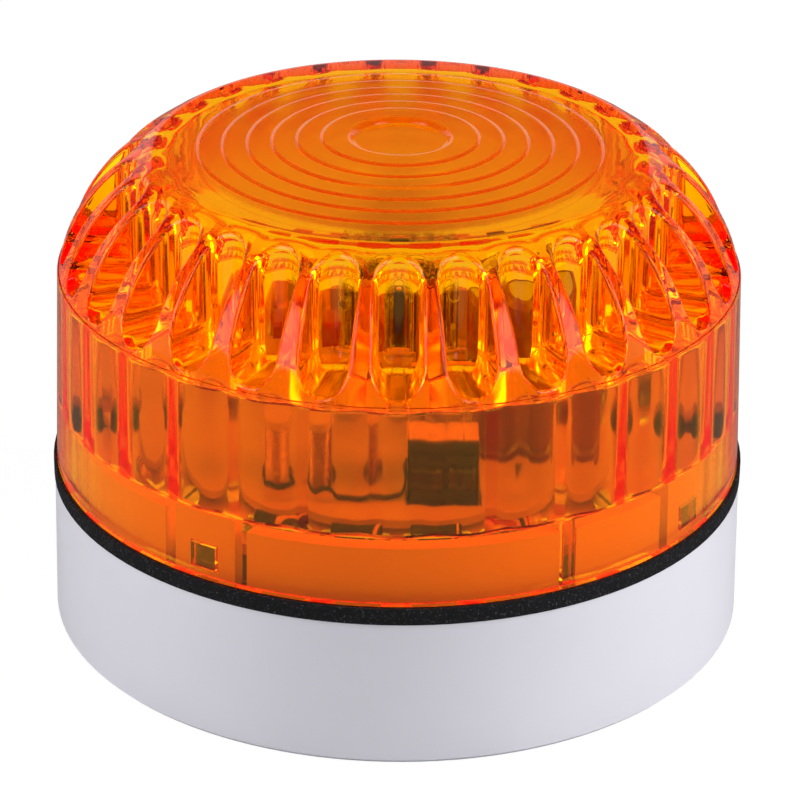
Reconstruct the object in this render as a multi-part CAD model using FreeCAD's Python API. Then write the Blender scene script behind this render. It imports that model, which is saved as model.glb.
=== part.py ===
import FreeCAD, Part
import math
import os

# A wall-mounting xenon strobe beacon: a shallow drum base, a foam seal and a fluted amber lens that
# snaps over a spigot ring, with the flash tube and its driver board inside.
# The origin is the centre of the back face and +Z points out through the lens. Lengths are millimetres.
# Azimuths are degrees from the front (-Y) towards +X.

Vector = FreeCAD.Vector
up = Vector(0, 0, 1)

# Base housing
base_diameter = 98.0
base_height = 21.0
base_draft = 1.0
base_edge_round = 0.6
base_wall = 2.5
base_floor = 2.5
back_recess = 0.8
back_land = 6.0
rim_land = 3.0
rim_thickness = 3.3
spigot_rise = 10.0
spigot_wall = 2.2

# Fixing holes, with a pad behind and a boss inside
fixing_spacing = 76.0
fixing_hole = 4.5
fixing_boss = 11.0
fixing_boss_rise = 3.0

# Rear cable entry and its rubber grommet
cable_offset = 22.0
cable_hole = 16.0
grommet_bore = 8.0
grommet_flange = 2.0
grommet_lip = 1.5
grommet_relief = 0.1

# Snap tongues in the spigot ring, the lens catches in their windows, and the locating key
latch_count = 4
latch_azimuth = -33.0
tongue_width = 9.4
tongue_wall = 1.6
tongue_rise = 1.2
tongue_slot = 1.7
tongue_slit = 0.4
tongue_foot = 3.0
catch_width = 3.8
catch_height = 3.4
catch_depth = 1.2
catch_lift = 0.8
catch_ramp = 0.7
catch_clearance = 0.25
key_azimuth = 29.0
key_width = 1.6
key_depth = 1.2
key_clearance = 0.4

# Foam seal
gasket_thickness = 2.3
gasket_proud = 0.15
gasket_clearance = 0.2

# Lens: skirt, shoulder, stepped crown and gate recess
lens_inset = 0.3
lens_height = 47.0
lens_fit = 0.3
lens_wall = 2.0
crown_wall = 3.0
skirt_height = 28.4
skirt_draft = 1.9
shoulder_step = 0.25
shoulder_radius = 25.0
plateau_radius = 34.0
crown_land = 6.0
ring_pitch = 3.4
ring_step = 0.25
ring_land = 3.0
gate_recess_radius = 7.0
gate_recess_depth = 0.8
gate_recess_slope = 0.5
step_clearance = 0.4

# Lens flutes outside, and the waved wall behind them
flute_count = 30
flute_width = 6.2
flute_root_radius = 36.2
flute_sill = 0.7
flute_fillet = 2.75
flute_wave = 1.5
flute_crest = 0.5
scallop_depth = 1.0
scallop_crest = 1.2
cutter_overrun = 4.0

# Driver board, its pillars and screws
board_thickness = 1.6
board_rise = 6.0
board_edge_gap = 1.2
board_screw_count = 4
board_screw_azimuth = 45.0
board_screw_inset = 3.8
board_hole = 3.4
pillar_diameter = 6.4
pilot_hole = 2.5
pilot_depth = 9.0
screw_shank = 2.4
screw_length = 8.0
screw_head = 5.4
screw_head_height = 2.0
screw_slot = 0.8
fixing_access = 11.0
cable_notch_width = 20.0
cable_notch_depth = 5.5

# White reflector plate over the board
reflector_screw_gap = 0.73
reflector_gap = 1.2
reflector_thickness = 1.2
reflector_post = 4.0
reflector_post_inset = 4.0
reflector_post_azimuths = (-120.0, -45.0, 150.0)
cutout_clearance = 0.8

# Flash tube, electrodes, holder and trigger band
tube_y = 3.0
tube_diameter = 5.0
tube_glass = 0.7
tube_leg_spacing = 10.0
tube_headroom = 4.6
tube_seal = 2.5
electrode_diameter = 1.0
electrode_reach = 6.0
cathode_diameter = 2.4
cathode_height = 2.0
holder_diameter = 18.0
holder_height = 6.0
holder_socket = 3.0
holder_round = 1.0
trigger_band_height = 2.0
trigger_band_wall = 0.3
trigger_band_level = 12.0
trigger_wire_diameter = 0.6

# Storage capacitor
capacitor_azimuth = 62.0
capacitor_diameter = 16.0
capacitor_height = 26.0
capacitor_clearance = 5.7
capacitor_sleeve = 0.3
capacitor_lip = 2.0
capacitor_crimp = 0.5
capacitor_crimp_level = 3.5
capacitor_round = 0.8

# Inverter transformer
transformer_x = 7.5
transformer_y = -24.5
core_width = 9.0
core_height = 8.6
core_depth = 6.5
core_yoke = 1.8
core_centre = 3.0
core_gap = 0.1
bobbin_base = 1.6
bobbin_flange = 0.8
bobbin_tube = 0.5
winding_overhang = 2.2
winding_round = 1.0

# Trigger coil
coil_x = -11.0
coil_y = -22.0
coil_diameter = 9.0
coil_height = 12.0
coil_flange = 1.2
coil_spool = 4.0
coil_winding_inset = 0.8

# Smaller board parts
film_x = -13.5
film_y = 14.0
film_width = 13.0
film_depth = 6.0
film_height = 10.0
film_round = 0.8
input_capacitor_x = 15.5
input_capacitor_y = 13.5
input_capacitor_diameter = 10.0
input_capacitor_height = 16.0
input_capacitor_lip = 1.2
varistor_x = -19.5
varistor_y = 21.5
varistor_diameter = 9.0
varistor_thickness = 3.5
varistor_lift = 1.5
varistor_lead_spacing = 5.0
transistor_x = 0.0
transistor_y = 17.0
transistor_width = 10.0
transistor_height = 9.2
transistor_depth = 4.4
transistor_lift = 4.0
transistor_tab = 6.2
transistor_tab_thickness = 1.3
transistor_tab_hole = 3.6
transistor_leg = 0.8
transistor_leg_pitch = 2.54
resistor_x = 27.0
resistor_y = 8.0
resistor_diameter = 5.2
resistor_length = 13.0
resistor_lift = 3.4
diode_azimuths = (-24.0, -8.0, 8.0)
diode_diameter = 2.7
diode_length = 5.2
bias_azimuths = (24.0, -58.0)
bias_diameter = 2.4
bias_length = 6.3
rim_part_inset = 3.5
lead_diameter = 0.7
lead_bend = 0.9
lead_run = 1.8

# Terminal block with rising clamps
terminal_count = 4
terminal_pitch = 5.0
terminal_y = 28.0
terminal_depth = 9.6
terminal_height = 11.2
terminal_end_wall = 0.6
terminal_floor = 0.7
terminal_front_wall = 1.2
clamp_width = 3.8
clamp_depth = 5.0
clamp_height = 5.4
clamp_wall = 0.8
clamp_cheek = 0.5
clamp_travel = 2.0
clamp_clearance = 0.3
contact_width = 2.2
contact_thickness = 0.7
contact_gap = 0.5
terminal_screw_shank = 2.4
terminal_screw_head = 3.4
terminal_screw_head_height = 1.7
terminal_screw_slot = 0.6
terminal_screw_clearance = 0.05
terminal_bore_clearance = 0.2
wire_entry_width = 3.4

# Levels and radii that follow from the sizes above
rim_radius = base_diameter / 2 - base_height * math.tan(math.radians(base_draft))
spigot_radius = rim_radius - rim_land
spigot_inner = spigot_radius - spigot_wall
inner_wall_radius = rim_radius - base_wall
floor_top = back_recess + base_floor
spigot_top = base_height + spigot_rise
haunch_low = base_height - rim_thickness - (inner_wall_radius - spigot_inner)
tongue_inner = spigot_radius - tongue_wall
tongue_top = spigot_top + tongue_rise

lens_bottom = base_height + gasket_thickness
lens_top = lens_bottom + lens_height
skirt_top = lens_bottom + skirt_height
skirt_bottom_radius = rim_radius - lens_inset
skirt_top_radius = skirt_bottom_radius - skirt_height * math.tan(math.radians(skirt_draft))
shoulder_foot_radius = skirt_top_radius - shoulder_step
lens_bore_radius = spigot_radius + lens_fit
outer_ring_radius = plateau_radius - crown_land
ring_count = 1 + int((outer_ring_radius - gate_recess_radius - ring_land) / ring_pitch)
plateau_level = lens_top - ring_count * ring_step
crown_ceiling = plateau_level - crown_wall
flute_pitch = 360.0 / flute_count
flute_floor = skirt_top + flute_sill
flute_ceiling_radius = flute_root_radius - lens_wall

board_top = base_height + board_rise
board_bottom = board_top - board_thickness
board_radius = spigot_inner - board_edge_gap
board_screw_circle = board_radius - board_screw_inset
reflector_radius = board_screw_circle - screw_head / 2 - reflector_screw_gap
reflector_bottom = board_top + reflector_gap
reflector_top = reflector_bottom + reflector_thickness
rim_part_circle = board_radius - rim_part_inset
capacitor_circle = flute_ceiling_radius - capacitor_clearance - capacitor_diameter / 2

tube_foot = board_top + holder_height - holder_socket
tube_bend_radius = tube_leg_spacing / 2
tube_shoulder = crown_ceiling - tube_headroom - tube_diameter / 2 - tube_bend_radius

clamp_low = board_top + terminal_floor + clamp_clearance
clamp_high = clamp_low + clamp_height
contact_top = clamp_high - clamp_wall - contact_gap
contact_low = contact_top - contact_thickness
terminal_head_low = clamp_high + clamp_travel + clamp_clearance * 2
terminal_pocket_high = clamp_high + clamp_travel + clamp_clearance
terminal_pocket_depth = clamp_depth + clamp_clearance * 2 + contact_thickness * 2


def polar(azimuth, radius, level=0.0):
    angle = math.radians(azimuth)
    return Vector(radius * math.sin(angle), -radius * math.cos(angle), level)


def turned(shape, azimuth):
    copy = shape.copy()
    copy.rotate(Vector(), up, azimuth)
    return copy


def moved(shape, x, y, z=0.0):
    copy = shape.copy()
    copy.translate(Vector(x, y, z))
    return copy


def around(shape, count, first=0.0):
    return [turned(shape, first + step * 360.0 / count) for step in range(count)]


def disc(radius, low, high, x=0.0, y=0.0):
    return Part.makeCylinder(radius, high - low, Vector(x, y, low))


def ring(outer, inner, low, high):
    return disc(outer, low, high).cut(disc(inner, low, high))


def block(width, depth, low, high, x=0.0, y=0.0):
    return Part.makeBox(width, depth, high - low, Vector(x - width / 2, y - depth / 2, low))


def rounded_block(width, depth, low, high, radius):
    body = block(width, depth, low, high)
    upright = [edge for edge in body.Edges if abs(edge.tangentAt(edge.FirstParameter).z) > 0.5]
    crown = [edge for edge in body.Edges if edge.BoundBox.ZMin > high - radius / 2]
    return body.makeFillet(min(radius, 0.45 * depth), upright + crown)


def section_lines(points):
    corners = [Vector(radius, 0, level) for radius, level in points]
    return [Part.makeLine(start, end) for start, end in zip(corners, corners[1:])]


def spun(edges):
    return Part.Face(Part.Wire(edges)).revolve(Vector(), up, 360)


def spun_outline(points):
    return spun(section_lines(points + points[:1]))


def sector(inner, outer, width, low, high):
    span = block(width, outer, low, high, 0, -outer / 2)
    return ring(outer, inner, low, high).common(span)


def bulging_arc(start, end, radius):
    first = Vector(start[0], 0, start[1])
    last = Vector(end[0], 0, end[1])
    chord = last - first
    sag = radius - math.sqrt(radius ** 2 - (chord.Length / 2) ** 2)
    outward = Vector(abs(chord.z), 0, abs(chord.x)).normalize()
    middle = (first + last) / 2 + outward * sag
    return Part.Arc(first, middle, last).toShape()


def waved_prism(flute_radius, ridge_radius, crest, low, high):
    half_crest = math.degrees(crest / 2 / ridge_radius)
    edges = []
    for step in range(flute_count):
        middle = step * flute_pitch
        start = polar(middle - flute_pitch / 2 + half_crest, ridge_radius, low)
        end = polar(middle + flute_pitch / 2 - half_crest, ridge_radius, low)
        following = polar(middle + flute_pitch / 2 + half_crest, ridge_radius, low)
        edges.append(Part.Arc(start, polar(middle, flute_radius, low), end).toShape())
        edges.append(Part.makeLine(end, following))
    return Part.Face(Part.Wire(edges)).extrude(Vector(0, 0, high - low))


def slotted_screw(head, head_height, shank, length, slot):
    body = disc(head / 2, 0, head_height)
    rim = [edge for edge in body.Edges if edge.BoundBox.ZMin > head_height / 2]
    body = body.makeFillet(min(head_height, head) / 4, rim)
    body = body.fuse(disc(shank / 2, -length, 0))
    return body.cut(block(slot, head, head_height / 2, head_height))


def bent_lead(reach, length, lift):
    bend = Vector(reach, 0, lift - lead_bend)
    corner = lead_bend * (1 - math.sqrt(0.5))
    path = Part.Wire([
        Part.makeLine(Vector(reach, 0, 0), bend),
        Part.Arc(bend, Vector(reach - corner, 0, lift - corner), Vector(reach - lead_bend, 0, lift)).toShape(),
        Part.makeLine(Vector(reach - lead_bend, 0, lift), Vector(length / 2, 0, lift)),
    ])
    start = Part.Wire(Part.makeCircle(lead_diameter / 2, Vector(reach, 0, 0), up))
    return path.makePipeShell([start], True, True)


def axial_part(diameter, length, lift):
    body = Part.makeCylinder(diameter / 2, length, Vector(-length / 2, 0, lift), Vector(1, 0, 0))
    ends = [edge for edge in body.Edges if edge.Length > diameter * 2]
    body = body.makeFillet(diameter / 6, ends)
    lead = bent_lead(length / 2 + lead_run, length, lift)
    return body, [lead, turned(lead, 180)]


def make_base_housing():
    shell = spun_outline([
        (0, 0),
        (base_diameter / 2 - base_edge_round, 0),
        (base_diameter / 2, base_edge_round),
        (rim_radius, base_height),
        (spigot_radius, base_height),
        (spigot_radius, spigot_top),
        (spigot_inner, spigot_top),
        (spigot_inner, base_height - rim_thickness),
        (inner_wall_radius, haunch_low),
        (inner_wall_radius, floor_top),
        (0, floor_top),
    ])
    fixings = [(fixing_spacing / 2, 0), (-fixing_spacing / 2, 0)]
    pads = [disc(fixing_boss / 2, 0, back_recess, x, y) for x, y in fixings]
    recess = disc(base_diameter / 2 - back_land, 0, back_recess).cut(pads)
    boss_top = floor_top + fixing_boss_rise
    bosses = [disc(fixing_boss / 2, floor_top, boss_top, x, y) for x, y in fixings]
    pillar = disc(pillar_diameter / 2, floor_top, board_bottom, 0, -board_screw_circle)
    pilot = disc(pilot_hole / 2, board_bottom - pilot_depth, board_bottom, 0, -board_screw_circle)
    shell = shell.fuse(bosses + around(pillar, board_screw_count, board_screw_azimuth))

    opening_width = tongue_width + tongue_slot * 2
    opening = sector(spigot_inner / 2, spigot_radius + tongue_slit, opening_width, haunch_low, tongue_top)
    key_slot = sector(spigot_inner / 2, spigot_radius + tongue_slit, key_width + key_clearance * 2,
                      base_height, tongue_top)
    cuts = [recess, disc(cable_hole / 2, 0, floor_top, 0, cable_offset), turned(key_slot, key_azimuth)]
    cuts += [disc(fixing_hole / 2, 0, boss_top, x, y) for x, y in fixings]
    cuts += around(pilot, board_screw_count, board_screw_azimuth)
    cuts += around(opening, latch_count, latch_azimuth)
    return shell.cut(cuts).removeSplitter()


def make_snap_tongues():
    foot_low = haunch_low - tongue_foot
    blade = sector(tongue_inner, spigot_radius, tongue_width, foot_low, tongue_top)
    foot = sector(tongue_inner, inner_wall_radius, tongue_width, foot_low, haunch_low)
    window_low = lens_bottom + catch_lift - catch_clearance
    window_high = lens_bottom + catch_lift + catch_height + catch_clearance
    window = block(catch_width + catch_clearance * 2, rim_radius, window_low, window_high, 0, -rim_radius)
    tongue = blade.fuse(foot).cut(window).removeSplitter()
    return Part.makeCompound(around(tongue, latch_count, latch_azimuth))


def make_gasket():
    return ring(rim_radius + gasket_proud, spigot_radius + gasket_clearance, base_height, lens_bottom)


def make_cable_grommet():
    low = grommet_relief
    high = floor_top + grommet_lip
    neck = cable_hole / 2
    flange = neck + grommet_flange
    body = spun_outline([
        (grommet_bore / 2, low),
        (flange, low),
        (flange, back_recess),
        (neck, back_recess),
        (neck, floor_top),
        (flange, floor_top),
        (neck, high),
        (grommet_bore / 2, high),
    ])
    return moved(body, 0, cable_offset)


def make_lens_outside():
    crown = [(plateau_radius, plateau_level)]
    for step in range(1, ring_count + 1):
        edge = outer_ring_radius - (step - 1) * ring_pitch
        crown.append((edge, crown[-1][1]))
        crown.append((edge, plateau_level + step * ring_step))
    recess_level = lens_top - gate_recess_depth
    crown += [
        (gate_recess_radius, lens_top),
        (gate_recess_radius - gate_recess_slope, recess_level),
        (0, recess_level),
        (0, lens_bottom),
    ]
    skirt = [
        (0, lens_bottom),
        (skirt_bottom_radius, lens_bottom),
        (skirt_top_radius, skirt_top),
        (shoulder_foot_radius, skirt_top),
    ]
    shoulder = bulging_arc(skirt[-1], crown[0], shoulder_radius)
    return spun(section_lines(skirt) + [shoulder] + section_lines(crown))


def make_flute_cutter():
    centre = flute_root_radius + flute_width / 2
    far = skirt_bottom_radius + cutter_overrun
    top = lens_top + cutter_overrun
    run = block(flute_width, far - centre, flute_floor, top, 0, -(far + centre) / 2)
    cutter = run.fuse(disc(flute_width / 2, flute_floor, top, 0, -centre)).removeSplitter()
    foot = [edge for edge in cutter.Edges if edge.BoundBox.ZMax < flute_floor + flute_sill]
    return cutter.makeFillet(min(flute_fillet, 0.45 * flute_width), foot)


def make_lens():
    low = lens_bottom - cutter_overrun
    bore = disc(lens_bore_radius, low, tongue_top + step_clearance)
    scallop_radius = skirt_top_radius - lens_wall
    skirt_space = waved_prism(scallop_radius, scallop_radius - scallop_depth, scallop_crest,
                              low, flute_floor - lens_wall)
    crown_space = waved_prism(flute_ceiling_radius, flute_ceiling_radius + flute_wave, flute_crest,
                              low, crown_ceiling)
    body = make_lens_outside().cut(around(make_flute_cutter(), flute_count))
    body = body.cut([bore, skirt_space, crown_space])

    catch_low = lens_bottom + catch_lift
    catch = sector(lens_bore_radius - catch_depth, lens_bore_radius + lens_wall / 2, catch_width,
                   catch_low, catch_low + catch_height)
    ramp = [edge for edge in catch.Edges
            if edge.BoundBox.ZMax < catch_low + catch_ramp
            and edge.BoundBox.YMin > -(lens_bore_radius - catch_depth / 2)
            and edge.BoundBox.XLength > catch_width / 2]
    catch = catch.makeChamfer(catch_ramp, ramp)
    key = sector(lens_bore_radius - key_depth, lens_bore_radius + lens_wall / 2, key_width,
                 lens_bottom, tongue_top + step_clearance + lens_wall)
    fittings = around(catch, latch_count, latch_azimuth) + [turned(key, key_azimuth)]
    return body.fuse(fittings).removeSplitter()


def make_board():
    plate = disc(board_radius, board_bottom, board_top)
    hole = disc(board_hole / 2, board_bottom, board_top, 0, -board_screw_circle)
    cuts = around(hole, board_screw_count, board_screw_azimuth)
    for side in (1, -1):
        cuts.append(disc(fixing_access / 2, board_bottom, board_top, side * fixing_spacing / 2, 0))
    notch_y = board_radius - cable_notch_depth / 2
    cuts.append(block(cable_notch_width, cable_notch_depth + cutter_overrun, board_bottom, board_top,
                      0, notch_y + cutter_overrun / 2))
    return plate.cut(cuts)


def make_board_screws():
    screw = slotted_screw(screw_head, screw_head_height, screw_shank, screw_length, screw_slot)
    screw = moved(screw, 0, -board_screw_circle, board_top)
    return Part.makeCompound(around(screw, board_screw_count, board_screw_azimuth))


def make_reflector():
    low = reflector_bottom
    high = reflector_top
    margin = cutout_clearance
    plate = disc(reflector_radius, low, high)
    place = polar(capacitor_azimuth, capacitor_circle)
    can_hole = capacitor_diameter / 2 + margin
    bay_start = place.y - can_hole
    bay_side = resistor_x - resistor_diameter / 2 - margin
    bay_end = resistor_y + resistor_length / 2 + lead_run + lead_diameter + margin
    cuts = [
        disc(holder_diameter / 2 + margin, low, high, 0, tube_y),
        disc(can_hole, low, high, place.x, place.y),
        block(reflector_radius, bay_end - bay_start, low, high,
              bay_side + reflector_radius / 2, (bay_end + bay_start) / 2),
        disc(coil_diameter / 2 + margin, low, high, coil_x, coil_y),
        disc(input_capacitor_diameter / 2 + margin, low, high, input_capacitor_x, input_capacitor_y),
        block(core_width + margin * 2, core_depth + (winding_overhang + margin) * 2, low, high,
              transformer_x, transformer_y),
        block(film_width + margin * 2, film_depth + margin * 2, low, high, film_x, film_y),
        block(varistor_diameter + margin * 2, varistor_thickness + margin * 2, low, high,
              varistor_x, varistor_y),
        block(transistor_width + margin * 2, transistor_depth + margin * 2, low, high,
              transistor_x, transistor_y),
        block(terminal_count * terminal_pitch + (terminal_end_wall + margin) * 2, reflector_radius,
              low, high, 0, terminal_y - terminal_depth / 2 - margin + reflector_radius / 2),
    ]
    for side in (1, -1):
        cuts.append(disc(fixing_access / 2, low, high, side * fixing_spacing / 2, 0))
    post = disc(reflector_post / 2, board_top, low, 0, -(reflector_radius - reflector_post_inset))
    posts = [turned(post, azimuth) for azimuth in reflector_post_azimuths]
    return plate.cut(cuts).fuse(posts).removeSplitter()


def tube_leg_places():
    return [(side * tube_leg_spacing / 2, tube_y) for side in (-1, 1)]


def arch(radius, foot):
    low = Vector(-tube_bend_radius, tube_y, foot)
    left = Vector(-tube_bend_radius, tube_y, tube_shoulder)
    right = Vector(tube_bend_radius, tube_y, tube_shoulder)
    top = Vector(0, tube_y, tube_shoulder + tube_bend_radius)
    path = Part.Wire([
        Part.makeLine(low, left),
        Part.Arc(left, top, right).toShape(),
        Part.makeLine(right, Vector(tube_bend_radius, tube_y, foot)),
    ])
    return path.makePipeShell([Part.Wire(Part.makeCircle(radius, low, up))], True, True)


def make_flash_tube():
    bore = arch(tube_diameter / 2 - tube_glass, tube_foot + tube_seal)
    leads = [disc(electrode_diameter / 2, tube_foot, tube_foot + tube_seal, x, y)
             for x, y in tube_leg_places()]
    return arch(tube_diameter / 2, tube_foot).cut([bore] + leads)


def make_electrodes():
    top = tube_foot + tube_seal + electrode_reach
    rods = []
    for x, y in tube_leg_places():
        rod = disc(electrode_diameter / 2, board_top, top, x, y)
        rods.append(rod.fuse(disc(cathode_diameter / 2, top, top + cathode_height, x, y)))
    return Part.makeCompound(rods)


def make_tube_holder():
    high = board_top + holder_height
    body = disc(holder_diameter / 2, board_top, high, 0, tube_y)
    rim = [edge for edge in body.Edges if edge.BoundBox.ZMin > board_top + holder_height / 2]
    body = body.makeFillet(holder_round, rim)
    cuts = []
    for x, y in tube_leg_places():
        cuts.append(disc(tube_diameter / 2, tube_foot, high, x, y))
        cuts.append(disc(electrode_diameter / 2, board_top, tube_foot, x, y))
    return body.cut(cuts)


def make_trigger_band():
    x, y = tube_leg_places()[0]
    low = tube_foot + trigger_band_level
    outer = tube_diameter / 2 + trigger_band_wall
    band = moved(ring(outer, tube_diameter / 2, low, low + trigger_band_height), x, y)
    wire_y = y - outer
    wire = disc(trigger_wire_diameter / 2, board_top + holder_height, low + trigger_band_height, x, wire_y)
    return band.fuse(wire).cut(disc(tube_diameter / 2, tube_foot, low + trigger_band_height, x, y))


def can_outline(radius, top):
    crimp = board_top + capacitor_crimp_level
    return [
        (0, board_top),
        (radius, board_top),
        (radius, crimp - capacitor_crimp),
        (radius - capacitor_crimp, crimp),
        (radius, crimp + capacitor_crimp),
        (radius, top - capacitor_round),
        (radius - capacitor_round, top),
        (0, top),
    ]


def make_capacitor():
    place = polar(capacitor_azimuth, capacitor_circle)
    outer = capacitor_diameter / 2
    top = board_top + capacitor_height
    skin = spun_outline(can_outline(outer, top))
    can = spun_outline(can_outline(outer - capacitor_sleeve, top - capacitor_sleeve))
    mouth = disc(outer - capacitor_lip, top - capacitor_round, top)
    sleeve = skin.cut([can, mouth])
    return moved(can, place.x, place.y), moved(sleeve, place.x, place.y)


def make_transformer():
    low = board_top + bobbin_base
    high = low + core_height
    window_width = (core_width - core_centre - core_yoke) / 2
    window_low = low + core_yoke
    window_high = high - core_yoke
    window_x = (core_centre + window_width) / 2
    core = block(core_width, core_depth, low, high)
    core = core.cut([block(window_width, core_depth, window_low, window_high, side * window_x, 0)
                     for side in (1, -1)])

    hole = block(core_centre + core_gap * 2, core_depth + core_gap * 2, window_low, window_high)
    tube = block(core_centre + (core_gap + bobbin_tube) * 2, core_depth + (core_gap + bobbin_tube) * 2,
                 window_low, window_high)
    reach = core_depth + winding_overhang * 2
    spread = core_centre + (window_width - core_gap) * 2
    flange_low = block(spread, reach, window_low, window_low + bobbin_flange)
    flange_high = block(spread, reach, window_high - bobbin_flange, window_high)
    base = block(core_width, reach, board_top, low)
    leg_y = (core_depth + winding_overhang) / 2 + core_gap / 2
    legs = [block(spread, winding_overhang - core_gap, low, window_low, 0, side * leg_y) for side in (1, -1)]
    bobbin = base.fuse([tube, flange_low, flange_high] + legs).cut(hole).removeSplitter()

    winding = rounded_block(spread - core_gap * 2, reach - core_gap * 2, window_low + bobbin_flange,
                            window_high - bobbin_flange, winding_round)
    winding = winding.cut(tube)
    return [moved(piece, transformer_x, transformer_y) for piece in (core, bobbin, winding)]


def make_trigger_coil():
    high = board_top + coil_height
    flange = coil_diameter / 2
    spool = coil_spool / 2
    bobbin = spun_outline([
        (0, board_top),
        (flange, board_top),
        (flange, board_top + coil_flange),
        (spool, board_top + coil_flange),
        (spool, high - coil_flange),
        (flange, high - coil_flange),
        (flange, high),
        (0, high),
    ])
    winding = ring(flange - coil_winding_inset, spool, board_top + coil_flange, high - coil_flange)
    return moved(bobbin, coil_x, coil_y), moved(winding, coil_x, coil_y)


def make_film_capacitor():
    body = rounded_block(film_width, film_depth, board_top, board_top + film_height, film_round)
    return moved(body, film_x, film_y)


def make_input_capacitor():
    radius = input_capacitor_diameter / 2
    high = board_top + input_capacitor_height
    body = disc(radius, board_top, high)
    rim = [edge for edge in body.Edges if edge.BoundBox.ZMin > high - radius]
    body = body.makeFillet(input_capacitor_lip, rim)
    return moved(body, input_capacitor_x, input_capacitor_y)


def make_varistor():
    radius = varistor_diameter / 2
    centre = Vector(varistor_x, varistor_y - varistor_thickness / 2, board_top + varistor_lift + radius)
    body = Part.makeCylinder(radius, varistor_thickness, centre, Vector(0, 1, 0))
    rims = [edge for edge in body.Edges if edge.Length > varistor_diameter * 2]
    body = body.makeFillet(varistor_thickness / 3, rims)
    for side in (1, -1):
        x = varistor_x + side * varistor_lead_spacing / 2
        body = body.fuse(disc(lead_diameter / 2, board_top, centre.z, x, varistor_y))
    return body


def make_transistor():
    low = board_top + transistor_lift
    high = low + transistor_height
    back = transistor_depth / 2
    body = block(transistor_width, transistor_depth - transistor_tab_thickness, low, high,
                 0, -transistor_tab_thickness / 2)
    tab = block(transistor_width, transistor_tab_thickness, low, high + transistor_tab,
                0, back - transistor_tab_thickness / 2)
    hole = Part.makeCylinder(transistor_tab_hole / 2, transistor_depth,
                             Vector(0, 0, high + transistor_tab / 2), Vector(0, 1, 0))
    legs = [block(transistor_leg, transistor_leg, board_top, low, side * transistor_leg_pitch, 0)
            for side in (-1, 0, 1)]
    metal = Part.makeCompound([moved(piece, transistor_x, transistor_y) for piece in [tab.cut(hole)] + legs])
    return moved(body, transistor_x, transistor_y), metal


def make_power_resistor():
    body, leads = axial_part(resistor_diameter, resistor_length, resistor_lift)
    placed = [moved(turned(piece, 90), resistor_x, resistor_y, board_top) for piece in [body] + leads]
    return placed[0], placed[1:]


def make_rim_parts(azimuths, diameter, length):
    body, leads = axial_part(diameter, length, diameter / 2 + lead_bend)
    bodies = []
    wires = []
    for azimuth in azimuths:
        bodies.append(turned(moved(body, 0, -rim_part_circle, board_top), azimuth))
        wires += [turned(moved(lead, 0, -rim_part_circle, board_top), azimuth) for lead in leads]
    return Part.makeCompound(bodies), wires


def terminal_places():
    first = -(terminal_count - 1) * terminal_pitch / 2
    return [first + step * terminal_pitch for step in range(terminal_count)]


def make_terminal_block():
    length = terminal_count * terminal_pitch + terminal_end_wall * 2
    high = board_top + terminal_height
    housing = block(length, terminal_depth, board_top, high, 0, terminal_y)
    front = terminal_y + terminal_depth / 2
    pocket_y = front - terminal_front_wall - terminal_pocket_depth / 2
    pocket_width = clamp_width + clamp_clearance * 2
    bore = (terminal_screw_head / 2) + terminal_bore_clearance
    leg_y = front - terminal_front_wall - terminal_pocket_depth + contact_thickness / 2
    cuts = []
    for x in terminal_places():
        cuts.append(block(pocket_width, terminal_pocket_depth, board_top + terminal_floor,
                          terminal_pocket_high, x, pocket_y))
        cuts.append(disc(bore, terminal_pocket_high, high, x, clamp_y()))
        cuts.append(block(wire_entry_width, terminal_front_wall, clamp_low + clamp_wall,
                          contact_low, x, front - terminal_front_wall / 2))
        cuts.append(block(contact_width, contact_thickness, board_top, board_top + terminal_floor, x, leg_y))
    return housing.cut(cuts)


def clamp_y():
    front = terminal_y + terminal_depth / 2
    return front - terminal_front_wall - clamp_clearance - clamp_depth / 2


def make_contacts():
    front = terminal_y + terminal_depth / 2 - terminal_front_wall
    rear = front - terminal_pocket_depth
    contacts = []
    for x in terminal_places():
        bar = block(contact_width, front - rear, contact_low, contact_top, x, (front + rear) / 2)
        leg = block(contact_width, contact_thickness, board_top, contact_low, x, rear + contact_thickness / 2)
        contacts.append(bar.fuse(leg).removeSplitter())
    return Part.makeCompound(contacts)


def make_clamp(x):
    frame = block(clamp_width, clamp_depth, clamp_low, clamp_high, x, clamp_y())
    mouth = block(clamp_width - clamp_cheek * 2, clamp_depth, clamp_low + clamp_wall,
                  clamp_high - clamp_wall, x, clamp_y())
    thread = disc(terminal_screw_shank / 2 + terminal_screw_clearance, clamp_high - clamp_wall, clamp_high,
                  x, clamp_y())
    return frame.cut([mouth, thread])


def make_terminal_screw(x):
    length = terminal_head_low - contact_top - terminal_screw_clearance
    screw = slotted_screw(terminal_screw_head, terminal_screw_head_height, terminal_screw_shank, length,
                          terminal_screw_slot)
    return moved(screw, x, clamp_y(), terminal_head_low)


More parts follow.
